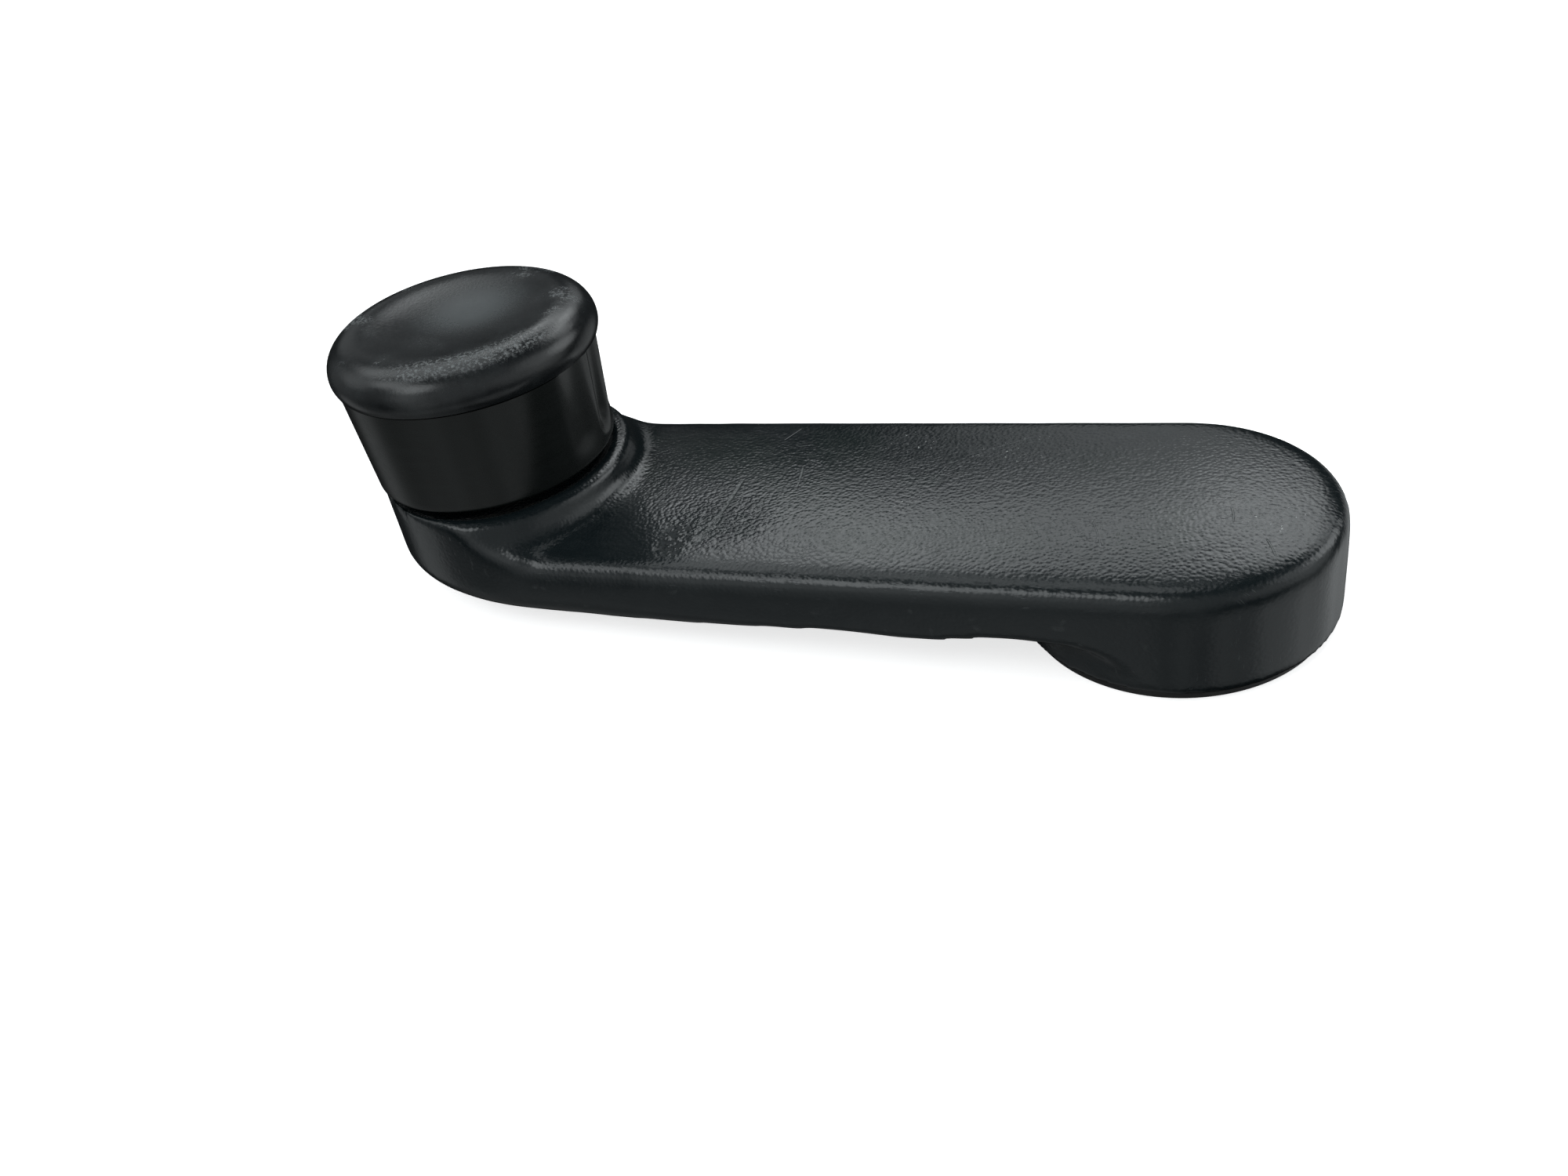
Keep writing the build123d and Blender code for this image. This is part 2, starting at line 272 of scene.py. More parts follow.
def times(tree, a, b):
    return mathNode(tree, "MULTIPLY", a, b)


def plus(tree, a, b, clamp=False):
    return mathNode(tree, "ADD", a, b, clamp)


def strongest(tree, values):
    total = values[0]
    for value in values[1:]:
        total = mathNode(tree, "MAXIMUM", total, value)
    return total


def fromMiddle(tree, place, middle, stretch):
    # how far a point is from a middle, where a stretched axis counts for more
    centre = tuple(m * s for m, s in zip(middle, stretch))
    return vectorMath(tree, "DISTANCE", mapped(tree, place, stretch=stretch), centre)


crankFinish = {
    "dark": (0.0062, 0.0098, 0.0112),
    "dust": (0.014, 0.018, 0.0195),
    "dustShare": 0.5,
    "roughness": (0.185, 0.215),
    # width of one patch of each pattern
    "pebble": 0.46 * mm, "fineGrain": 0.3 * mm, "cloud": 14 * mm, "smudge": 5 * mm, "wave": 6 * mm,
    "pebbleSoftness": 0.6, "fineShare": 0.3, "pebbleDepth": 0.036 * mm,
    "waveDepth": 0.03 * mm, "waveStrength": 0.6,
    # the patch beside the collar that fingers wear, and the dark pits along its edge
    "wornMiddle": (-52 * mm, -7.2 * mm, 12.5 * mm), "wornStretch": (1, 1.25, 1),
    "wornReach": (12 * mm, 4 * mm), "wornRagged": 6 * mm, "wornGrain": 1.9, "wornShine": 0.03,
    "pitsMiddle": (-56.4 * mm, -11.6 * mm, 12.3 * mm), "pitsStretch": (1.4, 0.9, 1),
    "pitsReach": (3.6 * mm, 1.4 * mm), "pit": 0.8 * mm, "pitDepth": 4.0, "pitRoughness": 0.5,
    # hairlines: heading, width and share of the surface
    "hairlines": [(25, 1.4 * mm, 0.36), (-50, 1.7 * mm, 0.35)],
    "hairStretch": (1, 14, 1), "hairPatch": 9 * mm, "hairShare": 0.35,
    # scratches: middle x, middle y, heading, length, width, bend radius, all in millimetres and degrees
    "scratches": [(-52.2, -5.8, 86, 15.0, 0.34, 60), (-60.9, -1.8, 78, 8.6, 0.16, 70),
                  (-56.3, -0.5, 60, 3.0, 0.14, 30), (-44.7, 1.8, 100, 5.2, 0.16, 30),
                  (-43.9, 5.3, -22, 1.9, 0.13, 20), (-46.8, 9.4, 12, 2.6, 0.10, 40),
                  (-49.6, 12.4, 70, 4.4, 0.10, 50), (-20.6, 10.4, 35, 6.2, 0.11, 60),
                  (-7.2, -7.9, 110, 5.4, 0.11, 40), (6.3, -3.5, 100, 3.1, 0.14, 8),
                  (10.6, -8.7, 112, 3.6, 0.14, 14), (-33.0, -1.5, 15, 4.0, 0.08, 60),
                  (-27.5, 3.2, 74, 3.4, 0.08, 40), (-66.0, 7.5, 40, 3.0, 0.10, 30)],
    "scratchBreak": 0.6 * mm, "scratchColour": (0.17, 0.18, 0.18), "scratchShare": 0.32,
    "scratchRoughness": 0.10, "scratchDepth": 0.03 * mm,
    # small white flecks and chips, and on the hub's dome white specks painted as glints of its highlight:
    # place and reach in millimetres
    "flecksAndGlints": [(-20.5, 9.6, 13.8, 6.0), (-33, 10.5, 13.2, 5.0), (10.8, -3.2, 14.9, 4.5),
               (-30.0, -3.0, 13.9, 3.0), (-51.5, -17.8, 5.4, 1.3), (-25.8, -18.1, 4.9, 1.5),
               (-19.2, -18.1, 4.2, 1.6)],
    "fleck": 0.55 * mm, "fleckAndGlintColour": (0.42, 0.44, 0.43), "fleckAndGlintShare": 0.8,
}


def hairScratches(tree, place, heading, width, share):
    # short straight hairlines that all run one way, in patches
    along = mapped(tree, place, turn=(0, 0, heading), stretch=crankFinish["hairStretch"])
    line = ramp(tree, noise(tree, along, width, 1.5, 0.4), 1 - share, 1 - share * 0.6)
    elsewhere = mapped(tree, place, shift=(heading * mm, 0, 0))
    patch = ramp(tree, noise(tree, elsewhere, crankFinish["hairPatch"], 2), 0.5, 0.62)
    return times(tree, line, patch)


def arcScratch(tree, place, scratch):
    # one scratch in plan, a piece of an arc that fades at its ends and across its width
    x, y, heading, length, width, bend = scratch
    angle = math.radians(heading)
    centre = (x - math.sin(angle) * bend, y + math.cos(angle) * bend, 0)
    flat = vectorMath(tree, "MULTIPLY", place, (1, 1, 0))
    fromCentre = vectorMath(tree, "DISTANCE", flat, tuple(v * mm for v in centre))
    off = mathNode(tree, "ABSOLUTE", mathNode(tree, "SUBTRACT", fromCentre, abs(bend) * mm))
    line = ramp(tree, off, width * mm, 0.25 * width * mm)
    reach = vectorMath(tree, "DISTANCE", flat, (x * mm, y * mm, 0))
    ends = ramp(tree, reach, length / 2 * mm, length / 2.9 * mm)
    return times(tree, line, ends)


def fleck(tree, place, x, y, z, reach):
    # where one group of flecks may be: full near its middle, none beyond its reach
    away = vectorMath(tree, "DISTANCE", place, (x * mm, y * mm, z * mm))
    return ramp(tree, away, reach * mm, 0.3 * reach * mm)


def makeGrainedPlastic():
    # charcoal moulded plastic with a fine pebble grain, rubbed shiny and scratched by use
    look = crankFinish
    material, tree, shader, place = newFinish("grainedPlastic")
    pebble = pebbles(tree, place, look["pebble"], look["pebbleSoftness"])
    fine = noise(tree, place, look["fineGrain"], 2, 0.6)
    cloud = noise(tree, place, look["cloud"], 4, 0.6)
    smeared = mapped(tree, place, stretch=(1, 2.2, 1), shift=(3 * mm, 0, 0))
    smudge = noise(tree, smeared, look["smudge"], 5, 0.65)
    facing = tree.nodes.new("ShaderNodeSeparateXYZ")
    plug(tree, facing.inputs[0], tree.nodes.new("ShaderNodeNewGeometry").outputs["Normal"])
    facingUp = facing.outputs["Z"]
    upward = ramp(tree, facingUp, 0.35, 0.9, 0.35, 1.0)

    worn = fromMiddle(tree, place, look["wornMiddle"], look["wornStretch"])
    worn = ramp(tree, plus(tree, worn, times(tree, smudge, look["wornRagged"])), *look["wornReach"])
    pits = ramp(tree, fromMiddle(tree, place, look["pitsMiddle"], look["pitsStretch"]), *look["pitsReach"])
    pits = times(tree, pits, ramp(tree, noise(tree, place, look["pit"], 3, 0.6), 0.47, 0.54))

    hair = strongest(tree, [hairScratches(tree, place, *lines) for lines in look["hairlines"]])
    cuts = strongest(tree, [arcScratch(tree, place, scratch) for scratch in look["scratches"]])
    cuts = times(tree, cuts, ramp(tree, noise(tree, place, look["scratchBreak"], 2), 0.30, 0.52))
    cuts = times(tree, cuts, ramp(tree, facingUp, 0.3, 0.7))
    marks = mathNode(tree, "MAXIMUM", cuts, times(tree, hair, look["hairShare"]))
    # white flecks and chips; the group on the hub's dome is painted glints of the dome's highlight
    flecksAndGlints = strongest(tree, [fleck(tree, place, *spot) for spot in look["flecksAndGlints"]])
    flecksAndGlints = times(tree, flecksAndGlints, ramp(tree, noise(tree, place, look["fleck"], 3, 0.65), 0.66, 0.70))

    dusty = ramp(tree, smudge, 0.48, 0.72, 0.0, look["dustShare"])
    colour = blendColour(tree, dusty, look["dark"], look["dust"])
    colour = blendColour(tree, times(tree, marks, look["scratchShare"]), colour, look["scratchColour"])
    colour = blendColour(tree, times(tree, flecksAndGlints, look["fleckAndGlintShare"]), colour, look["fleckAndGlintColour"])
    plug(tree, shader.inputs["Base Color"], colour)

    gloss = ramp(tree, cloud, 0.35, 0.68, *look["roughness"])
    gloss = plus(tree, gloss, ramp(tree, smudge, 0.3, 0.8, -0.015, 0.025))
    gloss = mathNode(tree, "SUBTRACT", gloss, times(tree, worn, look["wornShine"]))
    gloss = plus(tree, gloss, times(tree, marks, look["scratchRoughness"]))
    gloss = plus(tree, gloss, times(tree, pits, look["pitRoughness"]), clamp=True)
    plug(tree, shader.inputs["Roughness"], gloss)

    # the grain is full on faces that look up, deeper still where it is worn, and broken by the pits
    rise = plus(tree, times(tree, pebble, -1.0), times(tree, fine, look["fineShare"]))
    rise = times(tree, rise, plus(tree, upward, times(tree, worn, look["wornGrain"])))
    rise = mathNode(tree, "SUBTRACT", rise, times(tree, pits, look["pitDepth"]))
    grain = bump(tree, rise, look["pebbleDepth"])
    waves = bump(tree, noise(tree, place, look["wave"], 2), look["waveDepth"], look["waveStrength"], grain)
    plug(tree, shader.inputs["Normal"], bump(tree, marks, -look["scratchDepth"], 1.0, waves))
    return material


knobFinish = {
    "dark": (0.0040, 0.0055, 0.0050), "pale": (0.0095, 0.0125, 0.0115), "paleShare": 0.35,
    "rub": 5 * mm, "rubStretch": (1, 1, 5), "rubRoughness": (0.27, 0.30),
    "spot": 0.8 * mm, "spotRoughness": (-0.01, 0.02),
    "skin": 0.25 * mm, "skinDepth": 0.004 * mm,
    "wave": 9 * mm, "waveDepth": 0.02 * mm, "waveStrength": 0.5,
}


def makeKnobPlastic():
    # smooth satin plastic of the sleeve, polished by fingers, with faint rubs round it
    look = knobFinish
    material, tree, shader, place = newFinish("knobPlastic")
    rubs = noise(tree, mapped(tree, place, stretch=look["rubStretch"]), look["rub"], 5, 0.6)
    spots = noise(tree, place, look["spot"], 3, 0.6)
    plug(tree, shader.inputs["Base Color"],
         blendColour(tree, ramp(tree, rubs, 0.4, 0.8, 0, look["paleShare"]), look["dark"], look["pale"]))
    gloss = plus(tree, ramp(tree, rubs, 0.3, 0.75, *look["rubRoughness"]),
                 ramp(tree, spots, 0.4, 0.7, *look["spotRoughness"]))
    plug(tree, shader.inputs["Roughness"], gloss)
    skin = bump(tree, noise(tree, place, look["skin"], 3, 0.6), look["skinDepth"])
    waves = bump(tree, noise(tree, place, look["wave"], 2), look["waveDepth"], look["waveStrength"], skin)
    plug(tree, shader.inputs["Normal"], waves)
    return material


capFinish = {
    "dark": (0.0085, 0.0100, 0.0110), "paleRubAndPaintedHighlight": (0.062, 0.070, 0.073), "scuffAndStreakColour": (0.23, 0.25, 0.255),
    "cloud": 7 * mm, "cloudShift": (11 * mm, 4 * mm, 0), "speckle": 0.42 * mm,
    # the painted highlight in the dish, a lighter and rougher patch, measured from the knob's axis
    "paintedHighlightMiddle": (0.5 * mm, 3.0 * mm, 0), "paintedHighlightReach": (10.5 * mm, 2.6 * mm), "paintedHighlightRagged": 2.5 * mm,
    # the crest: radii between which the scuffs and the painted highlight streak come and go
    "crestInside": (10.5 * mm, 12.8 * mm), "crestOutside": (15.8 * mm, 14.4 * mm),
    # the side of the crest along which a highlight streak is painted as pale scuffs, and how far out that way
    # the streak starts
    "paintedStreakSide": (0.60, -0.80, 0), "paintedStreakFrom": (9.0 * mm, 13.0 * mm),
    "scuffAndStreakShare": 0.6, "cloudShare": 0.3,
    "roughness": (0.20, 0.26), "speckleRoughness": (-0.02, 0.04),
    "paintedHighlightRoughness": 0.10, "scuffRoughness": 0.18,
    "skin": 0.45 * mm, "skinDepth": 0.016 * mm, "scuffDepth": 0.02 * mm,
}


def makeCapPlastic():
    # half-gloss cap with a painted highlight in the middle of its dish, scuffed along its crest, and a
    # painted highlight streak along the crest's near side
    look = capFinish
    material, tree, shader, place = newFinish("capPlastic")
    cloud = noise(tree, mapped(tree, place, shift=look["cloudShift"]), look["cloud"], 5, 0.62)
    speckle = noise(tree, place, look["speckle"], 4, 0.7)
    plan = vectorMath(tree, "MULTIPLY", place, (1, 1, 0))
    fromAxis = vectorMath(tree, "DISTANCE", plan, tuple(knobAxis))
    outward = vectorMath(tree, "SUBTRACT", plan, tuple(knobAxis))
    side = vectorMath(tree, "DOT_PRODUCT", outward, look["paintedStreakSide"])
    crest = times(tree, ramp(tree, fromAxis, *look["crestInside"]),
                  ramp(tree, fromAxis, *look["crestOutside"]))
    # the crest's near side is made pale all along as a painted highlight streak
    paintedStreakSide = times(tree, crest, ramp(tree, side, *look["paintedStreakFrom"]))
    scuffsAndPaintedStreak = times(tree, crest, ramp(tree, cloud, 0.54, 0.64))
    scuffsAndPaintedStreak = mathNode(tree, "MAXIMUM", scuffsAndPaintedStreak, paintedStreakSide)
    scuffsAndPaintedStreak = times(tree, scuffsAndPaintedStreak, ramp(tree, speckle, 0.46, 0.64))
    # the dish's lighter patch is a painted highlight; it is also made rougher
    fromPaintedHighlight = vectorMath(tree, "DISTANCE", plan, tuple(knobAxis + Vector(look["paintedHighlightMiddle"])))
    paintedDishHighlight = ramp(tree, plus(tree, fromPaintedHighlight, times(tree, cloud, look["paintedHighlightRagged"])), *look["paintedHighlightReach"])
    rubsAndPaintedHighlight = mathNode(tree, "MAXIMUM", paintedDishHighlight, ramp(tree, cloud, 0.4, 0.8, 0, look["cloudShare"]))
    # random pale rubs and the painted dish highlight, laid over the dark plastic
    colour = blendColour(tree, rubsAndPaintedHighlight, look["dark"], look["paleRubAndPaintedHighlight"])
    # real scuffs and the painted highlight streak, mixed in paler
    colour = blendColour(tree, times(tree, scuffsAndPaintedStreak, look["scuffAndStreakShare"]), colour, look["scuffAndStreakColour"])
    plug(tree, shader.inputs["Base Color"], colour)
    gloss = plus(tree, ramp(tree, cloud, 0.3, 0.75, *look["roughness"]),
                 ramp(tree, speckle, 0.4, 0.7, *look["speckleRoughness"]))
    gloss = plus(tree, gloss, times(tree, paintedDishHighlight, look["paintedHighlightRoughness"]))
    gloss = plus(tree, gloss, times(tree, scuffsAndPaintedStreak, look["scuffRoughness"]), clamp=True)
    plug(tree, shader.inputs["Roughness"], gloss)
    skin = bump(tree, noise(tree, place, look["skin"], 3, 0.6), look["skinDepth"])
    plug(tree, shader.inputs["Normal"], bump(tree, scuffsAndPaintedStreak, -look["scuffDepth"], 1.0, skin))
    return material


ringFinish = {
    "dark": (0.006, 0.006, 0.0065), "dusty": (0.035, 0.034, 0.031), "dustShare": 0.8, "dust": 3 * mm,
    "roughness": (0.38, 0.58), "turnMark": 0.3 * mm, "turnDepth": 0.008 * mm,
}


def makeRingPlastic():
    # plain black acetal of the bearing ring, a little dusty, with turning marks
    look = ringFinish
    material, tree, shader, place = newFinish("ringPlastic")
    dust = noise(tree, place, look["dust"], 5, 0.65)
    fromAxis = vectorMath(tree, "LENGTH", vectorMath(tree, "MULTIPLY", place, (1, 1, 0)))
    turns = noise(tree, fromAxis, look["turnMark"], 2)
    plug(tree, shader.inputs["Base Color"],
         blendColour(tree, ramp(tree, dust, 0.45, 0.75, 0, look["dustShare"]), look["dark"], look["dusty"]))
    plug(tree, shader.inputs["Roughness"], ramp(tree, dust, 0.35, 0.7, *look["roughness"]))
    plug(tree, shader.inputs["Normal"], bump(tree, turns, look["turnDepth"]))
    return material


nylonFinish = {
    "dull": (0.55, 0.53, 0.47), "pale": (0.68, 0.66, 0.60), "cloud": 2 * mm, "roughness": (0.35, 0.5),
    "grain": 0.3 * mm, "grainDepth": 0.005 * mm,
    "glow": 0.15, "glowReach": (0.8 * mm, 0.7 * mm, 0.5 * mm),
}


def makeNylon():
    # milky nylon of the thrust washer, which lets a little light into itself
    look = nylonFinish
    material, tree, shader, place = newFinish("washerNylon")
    cloud = noise(tree, place, look["cloud"], 4, 0.6)
    plug(tree, shader.inputs["Base Color"], blendColour(tree, cloud, look["dull"], look["pale"]))
    plug(tree, shader.inputs["Roughness"], ramp(tree, cloud, 0.3, 0.7, *look["roughness"]))
    plug(tree, shader.inputs["Normal"], bump(tree, noise(tree, place, look["grain"], 2), look["grainDepth"]))
    shader.inputs["Subsurface Weight"].default_value = look["glow"]
    shader.inputs["Subsurface Radius"].default_value = look["glowReach"]
    return material


metalFinish = {
    "cloud": 2.6 * mm, "cloudRoughness": 0.16, "grainRoughness": (-0.04, 0.06),
    "bushZinc": {"bright": (0.56, 0.56, 0.55), "dull": (0.36, 0.36, 0.35),
                 "grain": 0.22 * mm, "grainDepth": 0.01 * mm, "roughness": 0.34},
    "pinSteel": {"bright": (0.60, 0.59, 0.56), "dull": (0.42, 0.40, 0.36),
                 "grain": 0.12 * mm, "grainDepth": 0.004 * mm, "roughness": 0.24},
    "springSteel": {"bright": (0.30, 0.29, 0.28), "dull": (0.17, 0.155, 0.14),
                    "grain": 0.10 * mm, "grainDepth": 0.003 * mm, "roughness": 0.26},
}


def makeMetal(name):
    # plated or cast metal: clouded colour, fine grain, roughness that follows both
    look = metalFinish[name]
    material, tree, shader, place = newFinish(name)
    cloud = noise(tree, place, metalFinish["cloud"], 5, 0.62)
    fine = noise(tree, place, look["grain"], 3, 0.6)
    plug(tree, shader.inputs["Base Color"],
         blendColour(tree, ramp(tree, cloud, 0.36, 0.66), look["bright"], look["dull"]))
    rough = ramp(tree, cloud, 0.35, 0.7, look["roughness"], look["roughness"] + metalFinish["cloudRoughness"])
    rough = plus(tree, rough, ramp(tree, fine, 0.35, 0.7, *metalFinish["grainRoughness"]))
    plug(tree, shader.inputs["Roughness"], rough)
    shader.inputs["Metallic"].default_value = 1.0
    plug(tree, shader.inputs["Normal"], bump(tree, fine, look["grainDepth"]))
    return material


grainedPlastic = makeGrainedPlastic()
knobPlastic = makeKnobPlastic()
capPlastic = makeCapPlastic()
ringPlastic = makeRingPlastic()
washerNylon = makeNylon()
bushZinc = makeMetal("bushZinc")
pinSteel = makeMetal("pinSteel")
springSteel = makeMetal("springSteel")
print("finishes mixed")


crankSkin = {
    "grain": 0.52 * mm, "passes": 3, "outerPasses": 7, "smoothAngle": 60,
    # how far in from the outside the show side's smoothing reaches, below and above a height
    "edgeSkin": 2.7 * mm, "skin": 1.1 * mm, "skinChange": 7.5 * mm,
    # lowest height of the roof's skin at the hub, and how it and the sides draw in towards the knob
    "roof": 11.9 * mm, "roofFall": 0.0425, "taper": 0.0052,
    "shoulderFrom": 8.0 * mm, "shoulderFull": 10.5 * mm, "shoulderEnd": -66 * mm, "shoulderFade": 4 * mm,
    "shoulderPasses": 26,
    # where the collar, the top edge and the side wall run together: middle and reach
    "necks": [(Vector((-69, 17.2, 11.5)) * mm, 9 * mm), (Vector((-77, 17.0, 12.4)) * mm, 8 * mm)],
    "neckFade": 0.7, "neckPasses": 40,
}


def makeCrank():
    skin = crankSkin
    crank = remeshed("crank_arm", "crankShell", skin["grain"], skin["passes"])
    # the show side is smoothed further than the ribs and bosses inside
    showSide = crank.vertex_groups.new(name="showSide")
    shoulder = crank.vertex_groups.new(name="shoulder")
    neck = crank.vertex_groups.new(name="neck")
    outside = []
    for vertex in crank.data.vertices:
        x, y, z = vertex.co
        inward = min(0, x)
        depth = skin["edgeSkin"] if z < skin["skinChange"] else skin["skin"]
        beyondHub = x > 0 and math.hypot(x, y) > hubRadius - depth
        onSide = abs(y) > armHigh.y - depth + skin["taper"] * inward
        onRoof = z > skin["roof"] + skin["roofFall"] * inward
        if beyondHub or onSide or onRoof:
            outside.append(vertex.index)
            upper = (z - skin["shoulderFrom"]) / (skin["shoulderFull"] - skin["shoulderFrom"])
            if upper > 0 and x > skin["shoulderEnd"]:
                share = min(1, upper, (x - skin["shoulderEnd"]) / skin["shoulderFade"])
                shoulder.add([vertex.index], share, "REPLACE")
            off = min((Vector((x, abs(y), z)) - middle).length / reach for middle, reach in skin["necks"])
            if off < 1:
                neck.add([vertex.index], (1 - off) ** skin["neckFade"], "REPLACE")
    showSide.add(outside, 1.0, "REPLACE")
    for group, passes in (("showSide", "outerPasses"), ("shoulder", "shoulderPasses"),
                          ("neck", "neckPasses")):
        polish = crank.modifiers.new(group, "SMOOTH")
        polish.factor = 0.5
        polish.iterations = skin[passes]
        polish.vertex_group = group
    applyAll(crank)
    smoothShade(crank, skin["smoothAngle"])
    dress(crank, "crank", "grained_plastic", grainedPlastic, "crank_arm")


makeCrank()


sleeveShape = {
    "segments": 240, "rows": 22, "smoothAngle": 42,
    "footRadius": 15.5 * mm, "topRadius": 16.35 * mm, "wall": 2.1 * mm,
    # the foot's outer edge is rounded in steps, in degrees
    "footRound": 0.6 * mm, "footSteps": (0, 22, 45, 68),
    "tubeRadius": 6.4 * mm, "tubeTop": 26.6 * mm, "bore": 3.56 * mm,
    # the deck that joins tube and wall, and how much wider than the foot the wall's inside is there
    "deck": 23.4 * mm, "deckThickness": 1.6 * mm, "deckBelow": 0.4 * mm, "deckAbove": 0.6 * mm,
    # angle, half width, depth of each finger flute
    "flutes": [(-9.5, 11.0, 0.42 * mm), (11.5, 8.0, 1.0 * mm), (32, 11, 0.8 * mm),
               (170.5, 11.0, 0.42 * mm), (191.5, 8.0, 1.0 * mm), (212, 11, 0.8 * mm)],
    # heights above the foot between which the flutes come up, how full their round is, and how far
    # inside the foot's radius the outer face still counts
    "fluteFoot": (1.3 * mm, 4.2 * mm), "fluteFullness": 0.8, "fluteSkin": 0.7 * mm,
}


def flutedDepth(angle, height):
    shape = sleeveShape
    depth = 0.0
    start, full = shape["fluteFoot"]
    rise = min(1.0, max(0.0, (height - sleeveLow.z - start) / (full - start)))
    rise = rise * rise * (3 - 2 * rise)
    for middle, halfWidth, deep in shape["flutes"]:
        off = (angle - middle + 180) % 360 - 180
        if abs(off) < halfWidth:
            crown = 0.5 + 0.5 * math.cos(math.pi * off / halfWidth)
            depth = max(depth, deep * crown ** shape["fluteFullness"])
    return depth * rise


def makeSleeve():
    shape = sleeveShape
    low, high = sleeveLow.z, sleeveHigh.z
    outer = []
    for row in range(shape["rows"] + 1):
        share = row / shape["rows"]
        radius = shape["footRadius"] + (shape["topRadius"] - shape["footRadius"]) * share
        outer.append((radius, low + shape["footRound"] + (high - low - shape["footRound"]) * share))
    foot = []
    for degrees in shape["footSteps"]:
        angle = math.radians(degrees)
        foot.append((shape["footRadius"] - shape["footRound"] * (1 - math.sin(angle)),
                     low + shape["footRound"] * (1 - math.cos(angle))))
    deckLow, deckHigh = shape["deck"], shape["deck"] + shape["deckThickness"]
    inFoot, inTop = shape["footRadius"] - shape["wall"], shape["topRadius"] - shape["wall"]
    underDeck = [(shape["bore"], low), (shape["tubeRadius"], low), (shape["tubeRadius"], deckLow),
                 (inFoot + shape["deckBelow"], deckLow), (inFoot, low)]
    overDeck = [(inTop, high), (inFoot + shape["deckAbove"], deckHigh), (shape["tubeRadius"], deckHigh),
                (shape["tubeRadius"], shape["tubeTop"]), (shape["bore"], shape["tubeTop"])]
    rings = underDeck + foot + outer + overDeck
    sleeve = turned("knobSleeve", knobAxis, rings, shape["segments"], "ring")
    for vertex in sleeve.data.vertices:
        away = vertex.co - knobAxis
        radius = math.hypot(away.x, away.y)
        if radius > shape["footRadius"] - shape["fluteSkin"]:
            depth = flutedDepth(math.degrees(math.atan2(away.y, away.x)), vertex.co.z)
            vertex.co.x -= away.x / radius * depth
            vertex.co.y -= away.y / radius * depth
    smoothShade(sleeve, shape["smoothAngle"])
    dress(sleeve, "knob", "knob_plastic", knobPlastic, "knob_sleeve")


capShape = {
    "segments": 128, "smoothLevels": 1, "smoothAngle": 50,
    # radius and height above the cap's seat on the sleeve, in millimetres, from inside the crown,
    # round the spigot and over the top
    "rings": [(0.8, 2.65), (9.8, 3.0), (12.5, 1.6), (12.7, -2.7), (12.9, -2.9), (13.8, -2.9), (14.0, -2.7),
              (14.0, 0.02), (16.1, 0.02), (16.42, 0.08), (16.62, 0.3), (16.66, 0.42), (16.80, 0.75),
              (16.92, 1.2), (16.95, 1.7), (16.86, 2.4), (16.55, 3.2), (16.0, 3.95), (15.2, 4.6),
              (14.2, 5.05), (13.0, 5.28), (11.8, 5.27), (10.6, 5.13), (9.2, 4.93), (7.4, 4.72),
              (5.2, 4.55), (3.0, 4.45), (0.9, 4.41)],
}


def makeCap():
    seat = sleeveHigh.z
    rings = [(radius * mm, seat + height * mm) for radius, height in capShape["rings"]]
    cap = turned("knobCap", knobAxis, rings, capShape["segments"], "disc")
    roundOver = cap.modifiers.new("round", "SUBSURF")
    roundOver.levels = capShape["smoothLevels"]
    roundOver.render_levels = capShape["smoothLevels"]
    applyAll(cap)
    smoothShade(cap, capShape["smoothAngle"])
    dress(cap, "knob", "cap_plastic", capPlastic, "knob_cap")


makeSleeve()
makeCap()


ringShape = {
    "segments": 128, "inner": 7.9 * mm, "landInner": 12.4 * mm, "neck": 15.2 * mm,
    "floor": 1.35 * mm, "lip": 0.85 * mm, "edge": 0.18 * mm, "edgeSegments": 3,
    "smoothAngle": 40,
}


def makeRing():
    shape = ringShape
    rings = [(shape["inner"], shape["floor"]), (shape["landInner"], shape["floor"]),
             (shape["landInner"], 0), (ringHigh.x, 0), (ringHigh.x, shape["lip"]),
             (shape["neck"], shape["lip"]), (shape["neck"], ringHigh.z), (shape["inner"], ringHigh.z)]
    ring = turned("bearingRing", hubAxis, rings, shape["segments"], "ring")
    bevelled(ring, shape["edge"], shape["edgeSegments"])
    smoothShade(ring, shape["smoothAngle"])
    dress(ring, "ring", "ring_plastic", ringPlastic, "bearing_ring")


clipShape = {
    "sides": 28, "bowSteps": 28, "roundedEnd": 0.35 * mm,
    # length of each step of the rounded end, and how far it narrows
    "endSteps": ((0.22 * mm, 0.86), (0.13 * mm, 0.62)),
    "endSlack": 0.01 * mm, "weld": 0.005 * mm, "smoothAngle": 50,
}


